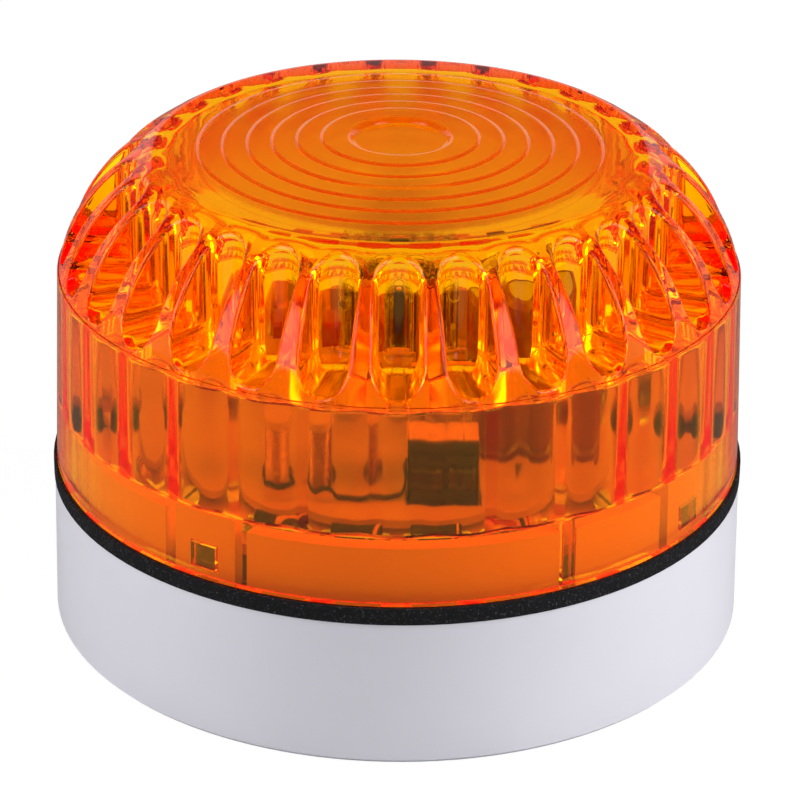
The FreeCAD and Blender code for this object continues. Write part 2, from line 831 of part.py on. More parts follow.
def make_all():
    can, sleeve = make_capacitor()
    core, bobbin, winding = make_transformer()
    coil_bobbin, coil_winding = make_trigger_coil()
    transistor_body, transistor_metal = make_transistor()
    resistor_body, resistor_leads = make_power_resistor()
    diodes, diode_leads = make_rim_parts(diode_azimuths, diode_diameter, diode_length)
    bias_resistors, bias_leads = make_rim_parts(bias_azimuths, bias_diameter, bias_length)
    parts = {
        "base_housing": make_base_housing(),
        "snap_tongues": make_snap_tongues(),
        "lens_gasket": make_gasket(),
        "cable_grommet": make_cable_grommet(),
        "lens": make_lens(),
        "driver_board": make_board(),
        "board_screws": make_board_screws(),
        "reflector_plate": make_reflector(),
        "flash_tube": make_flash_tube(),
        "flash_tube_electrodes": make_electrodes(),
        "flash_tube_holder": make_tube_holder(),
        "trigger_band": make_trigger_band(),
        "storage_capacitor_can": can,
        "storage_capacitor_sleeve": sleeve,
        "transformer_core": core,
        "transformer_bobbin": bobbin,
        "transformer_winding": winding,
        "trigger_coil_bobbin": coil_bobbin,
        "trigger_coil_winding": coil_winding,
        "trigger_capacitor": make_film_capacitor(),
        "input_capacitor": make_input_capacitor(),
        "surge_varistor": make_varistor(),
        "switching_transistor": transistor_body,
        "switching_transistor_metal": transistor_metal,
        "power_resistor": resistor_body,
        "rectifier_diodes": diodes,
        "bias_resistors": bias_resistors,
        "component_leads": Part.makeCompound(resistor_leads + diode_leads + bias_leads),
        "terminal_block": make_terminal_block(),
        "terminal_contacts": make_contacts(),
    }
    for number, x in enumerate(terminal_places(), 1):
        parts[f"terminal_clamp_{number}"] = make_clamp(x)
        parts[f"terminal_screw_{number}"] = make_terminal_screw(x)
    return parts


os.makedirs("parts", exist_ok=True)
for name, shape in make_all().items():
    shape.exportStep(f"parts/{name}.step")
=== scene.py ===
import bmesh
import bpy
import math
from mathutils import Matrix, Vector


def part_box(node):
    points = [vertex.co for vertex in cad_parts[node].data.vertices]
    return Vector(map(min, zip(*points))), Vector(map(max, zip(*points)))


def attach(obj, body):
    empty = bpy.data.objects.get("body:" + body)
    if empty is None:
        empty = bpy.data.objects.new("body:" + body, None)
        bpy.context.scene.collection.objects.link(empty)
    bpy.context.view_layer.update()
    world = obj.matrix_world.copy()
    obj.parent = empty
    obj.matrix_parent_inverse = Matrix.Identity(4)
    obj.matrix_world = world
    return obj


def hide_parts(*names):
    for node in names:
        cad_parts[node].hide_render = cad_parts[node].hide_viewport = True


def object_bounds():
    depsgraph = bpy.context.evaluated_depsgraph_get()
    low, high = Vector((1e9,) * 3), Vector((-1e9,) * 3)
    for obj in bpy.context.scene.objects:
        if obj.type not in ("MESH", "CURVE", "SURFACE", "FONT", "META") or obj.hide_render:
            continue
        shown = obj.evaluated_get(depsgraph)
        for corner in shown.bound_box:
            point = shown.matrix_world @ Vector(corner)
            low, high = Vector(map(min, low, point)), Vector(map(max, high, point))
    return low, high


# A wall-mounting xenon strobe beacon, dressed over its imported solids.
# Lengths are millimetres in the dictionaries of the pieces, and metres in those of finishes and studio.
# Azimuths are degrees from the front (-Y) towards +X.

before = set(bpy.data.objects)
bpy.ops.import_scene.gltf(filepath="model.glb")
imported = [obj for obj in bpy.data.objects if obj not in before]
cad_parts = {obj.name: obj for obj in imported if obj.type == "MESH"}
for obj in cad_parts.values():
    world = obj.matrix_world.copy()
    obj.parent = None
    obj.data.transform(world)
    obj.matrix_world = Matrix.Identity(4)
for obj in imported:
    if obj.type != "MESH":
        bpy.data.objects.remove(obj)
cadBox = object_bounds()
mm = 0.001
weld = 0.000001  # points of a solid that are nearer than this become one
print("frame loaded:", len(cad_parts), "nodes")


def nodeCentre(node):
    low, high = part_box(node)
    return (low + high) / 2


def nodeRadius(node):
    low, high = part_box(node)
    return (high.x - low.x) / 2


def around(azimuth, radius, level):
    angle = math.radians(azimuth)
    return (radius * math.sin(angle), -radius * math.cos(angle), level)


# Nodes for materials, the world and Geometry Nodes alike


def connect(tree, value, socket):
    if isinstance(value, bpy.types.NodeSocket):
        tree.links.new(value, socket)
    else:
        socket.default_value = value


def addNode(tree, kind, **sockets):
    node = tree.nodes.new(kind)
    for label, value in sockets.items():
        connect(tree, value, node.inputs[label.replace("_", " ")])
    return node


def addMath(tree, operation, first, second=0):
    node = tree.nodes.new("ShaderNodeMath")
    node.operation = operation
    for socket, value in zip(node.inputs, (first, second)):
        connect(tree, value, socket)
    return node.outputs["Value"]


# Materials: every finish is nodes on Object coordinates.


class Finish:
    def __init__(self, name):
        self.material = bpy.data.materials.new(name)
        self.material.use_nodes = True
        self.tree = self.material.node_tree
        self.tree.nodes.clear()
        self.shader = self.add("BsdfPrincipled")
        self.output = self.add("OutputMaterial", Surface=self.shader.outputs[0])
        self.place = self.add("TexCoord").outputs["Object"]

    def add(self, kind, **sockets):
        return addNode(self.tree, "ShaderNode" + kind, **sockets)

    def set(self, **values):
        for label, value in values.items():
            connect(self.tree, value, self.shader.inputs[label.replace("_", " ")])

    def sums(self, operation, first, second=0):
        return addMath(self.tree, operation, first, second)

    def centred(self, centre, turn):
        mapping = self.add("Mapping", Vector=self.place, Location=centre, Rotation=(0, 0, math.radians(turn)))
        mapping.vector_type = "TEXTURE"
        return mapping.outputs["Vector"]

    def axes(self, source):
        return self.add("SeparateXYZ", Vector=source).outputs

    def noise(self, scale, detail=3.0, rough=0.5):
        node = self.add("TexNoise", Vector=self.place, Scale=scale, Detail=detail, Roughness=rough)
        return node.outputs["Fac"]

    def cells(self, scale):
        return self.add("TexVoronoi", Vector=self.place, Scale=scale).outputs["Distance"]

    def ramp(self, source, first, last, low=0.3, high=0.7):
        node = self.add("ValToRGB", Fac=source)
        for point, position, colour in zip(node.color_ramp.elements, (low, high), (first, last)):
            point.position = position
            point.color = (*colour, 1.0)
        return node.outputs["Color"]

    def span(self, source, low, high):
        return self.add("MapRange", Value=source, To_Min=low, To_Max=high).outputs["Result"]

    def bump(self, height, strength, depth):
        node = self.add("Bump", Height=height, Strength=strength, Distance=depth)
        self.set(Normal=node.outputs["Normal"])

    def overlaid(self, mask, colour):
        # a second colour over the first one, where the mask is 1
        node = self.add("Mix", Factor=mask)
        node.data_type = "RGBA"
        under, over, result = node.inputs[6], node.inputs[7], node.outputs[2]  # the sockets for colours
        connect(self.tree, self.shader.inputs["Base Color"].links[0].from_socket, under)
        connect(self.tree, (*colour, 1.0), over)
        self.set(Base_Color=result)

    def swapped(self, rays, other):
        # these rays meet the other shader
        mix = self.add("MixShader")
        for socket, source in zip(mix.inputs, (rays, self.shader.outputs[0], other.outputs[0])):
            connect(self.tree, source, socket)
        connect(self.tree, mix.outputs[0], self.output.inputs["Surface"])


grainLook = {"broad": 60.0, "broadDetail": 4.0, "fineDetail": 2.0}


def solidFinish(name, colour, shade=0.85, grain=900.0, rough=(0.35, 0.5), dent=0.15, depth=0.00003, **sockets):
    finish = Finish(name)
    broad = finish.noise(grainLook["broad"], grainLook["broadDetail"])
    fine = finish.noise(grain, grainLook["fineDetail"])
    dim = tuple(channel * shade for channel in colour)
    finish.set(Base_Color=finish.ramp(broad, dim, colour), Roughness=finish.span(fine, *rough), **sockets)
    finish.bump(fine, dent, depth)
    return finish


def metalFinish(name, colour, rough=(0.22, 0.42)):
    return solidFinish(name, colour, shade=0.82, grain=700.0, rough=rough, dent=0.12, depth=0.00002, Metallic=1.0)


amberLook = {
    "body": (1.0, 0.72, 0.02), "tint": (1.0, 0.90, 0.0), "density": 600.0, "index": 1.49, "clear": 1.0,
    "polished": 0.012, "satin": 0.3, "shade": (1.0, 0.48, 0.04),
    "ripple": 55.0, "rippleDetail": 1.0, "rippleShade": 0.97, "rippleDent": 0.04, "rippleDepth": 0.0004,
}


def amberFinish():
    look = amberLook
    finish = Finish("amberAcrylic")
    ripple = finish.noise(look["ripple"], look["rippleDetail"])
    deep = tuple(channel * look["rippleShade"] for channel in look["body"])
    finish.set(Base_Color=finish.ramp(ripple, deep, look["body"]), IOR=look["index"],
               Transmission_Weight=look["clear"])
    finish.bump(ripple, look["rippleDent"], look["rippleDepth"])
    # the attribute "inner" runs from polished (0) to satin (1)
    inner = finish.add("Attribute")
    inner.attribute_name = "inner"
    finish.set(Roughness=finish.span(inner.outputs["Fac"], look["polished"], look["satin"]))
    volume = finish.add("VolumeAbsorption", Color=(*look["tint"], 1.0), Density=look["density"])
    connect(finish.tree, volume.outputs[0], finish.output.inputs["Volume"])
    # lamps and bounced light go straight through, so that the inside is lit evenly
    rays = finish.add("LightPath").outputs
    clear = finish.add("BsdfTransparent", Color=(*look["shade"], 1.0))
    finish.swapped(finish.sums("MAXIMUM", rays["Is Shadow Ray"], rays["Is Diffuse Ray"]), clear)
    return finish


glassLook = {"haze": 300.0, "dim": (0.93, 0.96, 1.0), "body": (0.98, 0.99, 1.0), "rough": (0.0, 0.06), "index": 1.47}


def glassFinish():
    finish = Finish("flashGlass")
    haze = finish.noise(glassLook["haze"])
    finish.set(Base_Color=finish.ramp(haze, glassLook["dim"], glassLook["body"]),
               Roughness=finish.span(haze, *glassLook["rough"]), IOR=glassLook["index"], Transmission_Weight=1.0)
    finish.swapped(finish.add("LightPath").outputs["Is Shadow Ray"], finish.add("BsdfTransparent"))
    return finish


foamLook = {
    "pores": 2600.0, "rough": (0.7, 0.95), "dent": 0.8, "depth": 0.00015, "shine": 0.15,
    "specks": 3200.0, "speckDetail": 2.0, "speckRough": 0.7, "speckSpan": (0.60, 0.74),
    "dark": (0.010, 0.010, 0.011), "pale": (0.11, 0.11, 0.115),
}


def foamFinish():
    look = foamLook
    finish = Finish("foamRubber")
    pores = finish.cells(look["pores"])
    specks = finish.noise(look["specks"], look["speckDetail"], look["speckRough"])
    finish.set(Base_Color=finish.ramp(specks, look["dark"], look["pale"], *look["speckSpan"]),
               Roughness=finish.span(pores, *look["rough"]), Specular_IOR_Level=look["shine"])
    finish.bump(pores, look["dent"], look["depth"])
    return finish


sleeveLook = {"body": (0.30, 0.12, 0.07), "stripe": (0.66, 0.60, 0.52), "stripeTurn": 25.0, "stripeStart": 0.9}


def sleeveFinish(node):
    finish = solidFinish("brownSleeve", sleeveLook["body"], 0.75, 500.0, (0.18, 0.3))
    axes = finish.axes(finish.centred(nodeCentre(node), sleeveLook["stripeTurn"]))
    side = finish.sums("GREATER_THAN", axes["X"], sleeveLook["stripeStart"] * nodeRadius(node))
    finish.overlaid(side, sleeveLook["stripe"])
    return finish


# painted shade on the outside colour and painted light on the spigot ring's colour, over one white plastic
housingLook = {"outside": (0.68, 0.675, 0.735), "spigotPaintedLight": (0.93, 0.92, 0.91), "margin": 0.0001}


def housingFinish():
    # painted light and shade: the outside is painted a shaded lavender grey, and the spigot ring, which starts at the
    # seal, is painted paler for the brighter light under the lens
    finish = solidFinish("whitePlastic", housingLook["outside"], 0.97, 1500.0, (0.36, 0.46), 0.10, 0.00002)
    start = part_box("lens_gasket")[0].z + housingLook["margin"]
    spigotPaintedLight = finish.sums("GREATER_THAN", finish.axes(finish.place)["Z"], start)
    finish.overlaid(spigotPaintedLight, housingLook["spigotPaintedLight"])
    return finish


canLook = {"body": (0.78, 0.78, 0.79), "rough": (0.28, 0.4), "turn": 30.0, "score": 0.0003, "dent": 0.9,
           "depth": 0.0003}


def canFinish(node):
    finish = metalFinish("canAluminium", canLook["body"], canLook["rough"])
    axes = finish.axes(finish.centred(nodeCentre(node), canLook["turn"]))
    scores = [finish.sums("LESS_THAN", finish.sums("ABSOLUTE", axes[axis]), canLook["score"]) for axis in "XY"]
    shallow = finish.sums("SUBTRACT", 1.0, finish.sums("MAXIMUM", *scores))
    finish.bump(shallow, canLook["dent"], canLook["depth"])
    return finish


boardLook = {"paper": 90.0, "dim": (0.80, 0.66, 0.42), "body": (0.87, 0.73, 0.48), "weave": 1400.0,
             "rough": (0.25, 0.4), "dent": 0.1, "depth": 0.00003, "coat": 0.3}


def boardFinish():
    finish = Finish("boardLaminate")
    weave = finish.cells(boardLook["weave"])
    paper = finish.ramp(finish.noise(boardLook["paper"]), boardLook["dim"], boardLook["body"])
    finish.set(Base_Color=paper, Roughness=finish.span(weave, *boardLook["rough"]), Coat_Weight=boardLook["coat"])
    finish.bump(weave, boardLook["dent"], boardLook["depth"])
    return finish


tapeLook = {"layers": 5200.0, "layerSpan": (0.1, 0.6), "film": 400.0, "rough": (0.2, 0.35), "dent": 0.2,
            "depth": 0.00003}


def tapeFinish(name, dim, colour):
    finish = Finish(name)
    layers = finish.sums("SINE", finish.sums("MULTIPLY", finish.axes(finish.place)["Z"], tapeLook["layers"]))
    finish.set(Base_Color=finish.ramp(finish.span(layers, 0.0, 1.0), dim, colour, *tapeLook["layerSpan"]),
               Roughness=finish.span(finish.noise(tapeLook["film"]), *tapeLook["rough"]))
    finish.bump(layers, tapeLook["dent"], tapeLook["depth"])
    return finish


finishes = {
    "amber_acrylic": amberFinish(),
    "flash_glass": glassFinish(),
    "foam_rubber": foamFinish(),
    "board_laminate": boardFinish(),
    "dark_tape": tapeFinish("darkTape", (0.045, 0.033, 0.03), (0.06, 0.045, 0.04)),
    "pale_tape": tapeFinish("paleTape", (0.82, 0.72, 0.44), (0.88, 0.79, 0.50)),
    "brown_sleeve": sleeveFinish("storage_capacitor_sleeve"),
    "can_aluminium": canFinish("storage_capacitor_can"),
    "white_plastic": housingFinish(),
    "black_rubber": solidFinish("blackRubber", (0.035, 0.035, 0.038), 0.6, 800.0, (0.6, 0.8), 0.3, 0.00004),
    "reflector_white": solidFinish("reflectorWhite", (0.66, 0.65, 0.63), 0.95, 900.0, (0.3, 0.4)),
    "white_ceramic": solidFinish("whiteCeramic", (0.80, 0.78, 0.72), 0.93, 1800.0, (0.5, 0.7), 0.3),
    "ferrite": solidFinish("ferrite", (0.055, 0.055, 0.06), 0.6, 2500.0, (0.45, 0.65), 0.35),
    "black_nylon": solidFinish("blackNylon", (0.03, 0.03, 0.032), 0.7, 1000.0, (0.4, 0.55)),
    "natural_nylon": solidFinish("naturalNylon", (0.78, 0.76, 0.67), 0.9, 700.0, Subsurface_Weight=0.1),
    "red_epoxy": solidFinish("redEpoxy", (0.42, 0.05, 0.03), 0.8, 500.0, (0.15, 0.3)),
    "blue_sleeve": solidFinish("blueSleeve", (0.03, 0.08, 0.30), 0.8, 500.0, (0.18, 0.3)),
    "ochre_coating": solidFinish("ochreCoating", (0.62, 0.30, 0.04), 0.8, 600.0, (0.25, 0.4)),
    "black_epoxy": solidFinish("blackEpoxy", (0.03, 0.03, 0.032), 0.7, 2200.0, (0.45, 0.6), 0.3),
    "resistor_coat": solidFinish("resistorCoat", (0.30, 0.36, 0.30), 0.85, 1500.0, (0.5, 0.7), 0.3),
    "beige_coat": solidFinish("beigeCoat", (0.66, 0.48, 0.27), 0.88, 900.0, (0.3, 0.45)),
    "zinc_steel": metalFinish("zincSteel", (0.70, 0.70, 0.68)),
    "nickel_wire": metalFinish("nickelWire", (0.62, 0.60, 0.57), (0.25, 0.4)),
    "tinned_metal": metalFinish("tinnedMetal", (0.76, 0.76, 0.74), (0.3, 0.5)),
    "brass": metalFinish("brass", (0.78, 0.58, 0.24)),
    "copper_wire": solidFinish("copperWire", (0.62, 0.22, 0.07), 0.8, 600.0, (0.2, 0.32),
                               Metallic=0.85, Coat_Weight=0.5),
}
print("finishes:", len(finishes))


# Meshes and node trees


def placed(name, data):
    piece = bpy.data.objects.new(name, data)
    bpy.context.collection.objects.link(piece)
    return piece


def meshPiece(name, points, faces, edges=()):
    mesh = bpy.data.meshes.new(name)
    mesh.from_pydata([Vector(point) * mm for point in points], edges, faces)
    mesh.update()
    return placed(name, mesh)


def gathered(blocks):
    points, faces = [], []
    for spots, sides in blocks:
        shift = len(points)
        points += spots
        faces += [tuple(index + shift for index in side) for side in sides]
    return points, faces


def dress(piece, body, slot, *nodes):
    piece.data.materials.clear()
    piece.data.materials.append(finishes[slot].material)
    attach(piece, body)
    if nodes:
        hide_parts(*nodes)


def smooth(piece, angle=35.0):
    piece.data.shade_smooth()
    piece.data.set_sharp_from_angle(angle=math.radians(angle))
    even = piece.modifiers.new("evenNormals", "WEIGHTED_NORMAL")
    even.keep_sharp = True
    settle(piece)


def settle(piece):
    evaluated = piece.evaluated_get(bpy.context.evaluated_depsgraph_get())
    mesh = bpy.data.meshes.new_from_object(evaluated)
    piece.modifiers.clear()
    piece.data = mesh


def outward(piece):
    work = bmesh.new()
    work.from_mesh(piece.data)
    bmesh.ops.recalc_face_normals(work, faces=work.faces)
    work.to_mesh(piece.data)
    work.free()


def mergedCopy(node, name):
    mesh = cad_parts[node].data.copy()
    mesh.name = name
    if "custom_normal" in mesh.attributes:
        mesh.attributes.remove(mesh.attributes["custom_normal"])
    work = bmesh.new()
    work.from_mesh(mesh)
    bmesh.ops.remove_doubles(work, verts=work.verts, dist=weld)
    work.to_mesh(mesh)
    work.free()
    piece = placed(name, mesh)
    smooth(piece)
    return piece


def newTree(name, inputs):
    tree = bpy.data.node_groups.new(name, "GeometryNodeTree")
    tree.interface.new_socket("Geometry", in_out="INPUT", socket_type="NodeSocketGeometry")
    for label, kind in (*inputs.items(), ("Finish", "Material")):
        tree.interface.new_socket(label, in_out="INPUT", socket_type="NodeSocket" + kind)
    tree.interface.new_socket("Geometry", in_out="OUTPUT", socket_type="NodeSocketGeometry")
    return tree, tree.nodes.new("NodeGroupInput").outputs


def sweptWire(tree, start, curve):
    loop = addNode(tree, "GeometryNodeCurvePrimitiveCircle", Resolution=start["Sides"], Radius=start["Wire"])
    return addNode(tree, "GeometryNodeCurveToMesh", Curve=curve, Profile_Curve=loop.outputs[0], Fill_Caps=True)


def closeTree(tree, start, last):
    real = addNode(tree, "GeometryNodeRealizeInstances", Geometry=last.outputs[0])
    coat = addNode(tree, "GeometryNodeSetMaterial", Geometry=real.outputs[0], Material=start["Finish"])
    tree.links.new(coat.outputs[0], tree.nodes.new("NodeGroupOutput").inputs[0])
    return tree


def grow(piece, tree, slot, values):
    modifier = piece.modifiers.new(tree.name, "NODES")
    modifier.node_group = tree
    settings = {**values, "Finish": finishes[slot].material}
    for item in tree.interface.items_tree:
        if item.in_out == "INPUT" and item.name in settings:
            modifier[item.identifier] = settings[item.name]
    settle(piece)


def grown(name, tree, slot, values, points=(), edges=()):
    piece = meshPiece(name, points, [], edges)
    grow(piece, tree, slot, values)
    piece.data.shade_smooth()
    dress(piece, "base", slot)


def closedPiece(name, slot, points, faces):
    piece = meshPiece(name, points, faces)
    outward(piece)
    smooth(piece)
    dress(piece, "base", slot)


treeLook = {"coilSteps": 28, "domeSegments": 10, "domeRings": 6, "routeSteps": 8}


def turnedTree():
    tree, start = newTree("turnedCopies", {"Count": "Int", "Weld": "Float"})
    spots = addNode(tree, "GeometryNodeMeshLine", Count=start["Count"], Offset=(0, 0, 0))
    step = addMath(tree, "DIVIDE", 2 * math.pi, start["Count"])
    angle = addMath(tree, "MULTIPLY", tree.nodes.new("GeometryNodeInputIndex").outputs[0], step)
    turn = addNode(tree, "ShaderNodeCombineXYZ", Z=angle)
    copies = addNode(tree, "GeometryNodeInstanceOnPoints", Points=spots.outputs[0], Instance=start["Geometry"],
                     Rotation=turn.outputs[0])
    real = addNode(tree, "GeometryNodeRealizeInstances", Geometry=copies.outputs[0])
    merged = addNode(tree, "GeometryNodeMergeByDistance", Geometry=real.outputs[0], Distance=start["Weld"])
    return closeTree(tree, start, merged)


def coiledTree():
    tree, start = newTree("coiledWire", {"Turns": "Float", "Radius": "Float", "Rise": "Float", "Wire": "Float",
                                         "Sides": "Int", "Place": "Vector"})
    coil = addNode(tree, "GeometryNodeCurveSpiral", Resolution=treeLook["coilSteps"], Rotations=start["Turns"],
                   Start_Radius=start["Radius"], End_Radius=start["Radius"], Height=start["Rise"])
    wire = sweptWire(tree, start, coil.outputs[0])
    moved = addNode(tree, "GeometryNodeTransform", Geometry=wire.outputs[0], Translation=start["Place"])
    return closeTree(tree, start, moved)


def scatteredTree():
    tree, start = newTree("scatteredJoints", {"Width": "Float", "Height": "Float"})
    dome = addNode(tree, "GeometryNodeMeshUVSphere", Segments=treeLook["domeSegments"],
                   Rings=treeLook["domeRings"], Radius=0.5)
    size = addNode(tree, "ShaderNodeCombineXYZ", X=start["Width"], Y=start["Width"], Z=start["Height"])
    copies = addNode(tree, "GeometryNodeInstanceOnPoints", Points=start["Geometry"],
                     Instance=dome.outputs["Mesh"], Scale=size.outputs[0])
    return closeTree(tree, start, copies)


def routedTree():
    tree, start = newTree("routedWire", {"Wire": "Float", "Sides": "Int"})
    line = addNode(tree, "GeometryNodeMeshToCurve", Mesh=start["Geometry"])
    curve = addNode(tree, "GeometryNodeCurveSplineType", Curve=line.outputs[0])
    curve.spline_type = "CATMULL_ROM"
    fine = addNode(tree, "GeometryNodeSetSplineResolution", Geometry=curve.outputs[0],
                   Resolution=treeLook["routeSteps"])
    return closeTree(tree, start, sweptWire(tree, start, fine.outputs[0]))


turnedCopies = turnedTree()
coiledWire = coiledTree()
scatteredJoints = scatteredTree()
routedWire = routedTree()


# Lens: one flute's sector as a mesh, turned round the axis

lensLook = {
    "flutes": 30, "fluteHalf": 3.1, "fluteRoot": 36.2, "foot": 2.75, "lip": 0.6, "lipShare": 0.45, "draft": 0.06,
    "sill": 0.7, "sillRound": 0.35, "sillMiddle": 0.29, "shoulderStep": 0.25, "shoulderArc": 25.0,
    "plateau": 34.0, "plateauEdge": ((0.5, 0.0), (0.2, 0.015), (0.0, 0.06)),  # run and drop of each row
    "apronStart": 0.2, "apronRadius": 34.9, "crownLand": 6.0, "crownWall": 3.0, "crownRound": 3.6,
    "rings": 6, "ringPitch": 3.4, "ringStep": 0.25, "ringSlope": 0.6, "ringCrease": 0.05, "ringGuard": 0.25,
    "ringShares": (0, 0.3, 0.55, 0.75, 0.9, 1.0), "ringMargin": 0.7,
    "recess": 7.0, "recessFloor": 6.5, "recessDepth": 0.8, "recessEase": 0.3, "recessToe": 0.07,
    "recessSlope": (0.1, 0.16), "recessLip": (0.08, 0.03),  # run and drop of each row
    "skirtRise": 28.4, "skirtDraft": 1.9, "wall": 2.0, "boreRadius": 45.933, "boreTop": 32.6, "boreEdge": 0.25,
    "skirtEdge": (0.16, 0.05), "lipEdge": (0.3, 0.09, 0.01),  # reach and middle of each round, then draft
    "cove": (0.6, 0.18), "bead": (0.3, 0.08),
    "scallop": 1.0, "scallopCrest": 1.2, "wave": 1.5, "waveCrest": 0.5,
    "skirtSatin": 0.35, "roundSatin": 0.15, "ringSatin": 1.0,
    "seat": 0.04,  # a hair of air over the seal, which keeps the lip bright
    "weld": 0.003,
}
lensSteps = {"arc": 6, "foot": 7, "lip": 4, "side": 10, "edge": 4, "apron": 2, "round": 6}


class LensForm:
    def __init__(self, look):
        low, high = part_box("lens")
        self.look = look
        self.bottom, self.top = low.z / mm + look["seat"], high.z / mm
        self.half = 180.0 / look["flutes"]
        self.bottomRadius = high.x / mm
        self.skirtTop = low.z / mm + look["skirtRise"]
        self.topRadius = self.bottomRadius - look["skirtRise"] * math.tan(math.radians(look["skirtDraft"]))
        self.footRadius = self.topRadius - look["shoulderStep"]
        self.plateauLevel = self.top - look["rings"] * look["ringStep"]
        self.floor = self.skirtTop + look["sill"]
        self.ceiling = self.plateauLevel - look["crownWall"]
        foot, plateau = Vector((self.footRadius, self.skirtTop)), Vector((look["plateau"], self.plateauLevel))
        chord = plateau - foot
        inward = Vector((-chord.y, chord.x)).normalized()
        reach = math.sqrt(look["shoulderArc"] ** 2 - (chord.length / 2) ** 2)
        self.arcCentre = (foot + plateau) / 2 + inward * reach

    def domeLevel(self, radius):
        run = min(radius - self.arcCentre.x, self.look["shoulderArc"])
        return self.arcCentre.y + math.sqrt(self.look["shoulderArc"] ** 2 - run ** 2)

    def domeRadius(self, level):
        return self.arcCentre.x + math.sqrt(self.look["shoulderArc"] ** 2 - (level - self.arcCentre.y) ** 2)

    def domeSlope(self, radius):
        run = radius - self.arcCentre.x
        return run / math.sqrt(self.look["shoulderArc"] ** 2 - run ** 2)

    def waved(self, azimuth, atFlute, atRidge, crest):
        # radius of an arc through the flute and both crests, along one azimuth
        edge = math.radians(self.half) - crest / 2 / atRidge
        end = Vector((math.cos(edge), math.sin(edge))) * atRidge
        centre = (atFlute ** 2 - end.length_squared) / 2 / (atFlute - end.x)
        angle = min(abs(math.radians(azimuth)), edge)
        bend = abs(atFlute - centre)
        side = 1 if atFlute > centre else -1
        return centre * math.cos(angle) + side * math.sqrt(max(bend ** 2 - (centre * math.sin(angle)) ** 2, 0))


def crownProfile(form):
    look = form.look
    top, step, ease = form.top, look["ringStep"], look["recessEase"]
    floor = top - look["recessDepth"]
    toe, rim = look["recessFloor"], look["recess"]
    slopeRun, slopeDrop = look["recessSlope"]
    lipRun, lipDrop = look["recessLip"]
    rows = [(0, floor), (toe - 2 * ease, floor), (toe - ease, floor), (toe, floor + look["recessToe"]),
            (rim - slopeRun, top - slopeDrop), (rim + lipRun, top - lipDrop), (rim + ease, top),
            (rim + 2 * ease, top)]
    ring = look["plateau"] - look["crownLand"] - (look["rings"] - 1) * look["ringPitch"]
    level = top
    for number in range(look["rings"]):
        # each terrace bends down to a crease at the next one
        rows.append((ring - look["ringSlope"] - look["ringGuard"], level))
        rows += [(ring - look["ringSlope"] * (1 - share), level - step * share ** 2) for share in look["ringShares"]]
        rows += [(ring + look["ringCrease"], level - step), (ring + look["ringGuard"], level - step)]
        ring += look["ringPitch"]
        level -= step
    edge = look["plateau"]
    rows += [(edge - run, level - drop) for run, drop in look["plateauEdge"]]
    apron = edge + look["apronStart"]
    for part in range(lensSteps["apron"] + 1):
        radius = apron + (look["apronRadius"] - apron) * part / lensSteps["apron"]
        rows.append((radius, form.domeLevel(radius)))
    return rows


def fluteHalf(form):
    look = form.look
    width, foot, lip = look["fluteHalf"], look["foot"], look["lip"]
    middle = look["fluteRoot"] + width
    slant = math.tan(math.radians(form.half))
    rim = form.domeRadius(form.floor)
    arcSteps, sideSteps = lensSteps["arc"], lensSteps["side"]

    def column(pointAt, edge, floor, stretch):
        rise = form.domeLevel(pointAt(width).length) - floor
        lipDrop = min(lip * stretch, look["lipShare"] * rise)
        sweep = math.acos(1 - min(max(rise - lipDrop, 0) / foot, 1))  # the trough runs out through the shoulder
        side = width - foot * (1 - math.sin(sweep)) + look["draft"]
        row = [(pointAt((width - foot) * part), floor) for part in (0, 0.5, 1)]
        for part in range(1, lensSteps["foot"] + 1):
            angle = sweep * part / lensSteps["foot"]
            row.append((pointAt(width - foot * (1 - math.sin(angle))), floor + foot * (1 - math.cos(angle))))
        for part in range(lensSteps["lip"] + 1):
            angle = math.pi / 2 * part / lensSteps["lip"]
            spot = pointAt(side + lip * (1 - math.cos(angle)))
            row.append((spot, form.domeLevel(spot.length) - lipDrop * (1 - math.sin(angle))))
        last = row[-1][0]
        for part in (0.5, 1):
            spot = last.lerp(edge, part)
            row.append((spot, form.domeLevel(spot.length)))
        return row

    # the round head
    rows = []
    for part in range(2 * arcSteps + 1):
        turn = math.pi / 2 * part / (2 * arcSteps)
        share = part / arcSteps
        if share <= 1:
            angle, radius = math.radians(form.half * share), look["apronRadius"]
        else:
            angle = math.radians(form.half)
            side = middle / math.cos(angle)
            radius = look["apronRadius"] + (side - look["apronRadius"]) * (share - 1)
        edge = Vector((math.cos(angle), math.sin(angle))) * radius
        direction = Vector((-math.cos(turn), math.sin(turn)))
        stretch = math.hypot(1, form.domeSlope(middle) * math.sin(turn))
        rows.append(column(lambda reach: Vector((middle, 0)) + direction * reach, edge, form.floor, stretch))

    # the straight sides down to the sill
    start = math.asin((middle - form.arcCentre.x) / look["shoulderArc"])
    stop = math.asin((rim - look["sillRound"] - form.arcCentre.x) / look["shoulderArc"])
    runs = []
    for part in range(1, sideSteps + 1):
        angle = start + (stop - start) * part / sideSteps
        runs.append((form.arcCentre.x + look["shoulderArc"] * math.sin(angle), 0))
    bend = look["sillRound"] * look["sillMiddle"]
    runs += [(rim - bend, bend), (rim, look["sillRound"])]
    for centreLine, drop in runs:
        curl = (centreLine - middle) / (rim - middle)

        def along(reach):
            return Vector((centreLine - curl * (rim - math.sqrt(rim ** 2 - reach ** 2)), reach))

        edge = along(centreLine * slant)
        for attempt in range(lensSteps["edge"]):
            edge = along(edge.x * slant)
        rows.append(column(along, edge, form.floor - drop, math.hypot(1, form.domeSlope(centreLine))))
    rows[-1] = [(spot.normalized() * form.domeRadius(level), level) for spot, level in rows[-1]]
    return rows


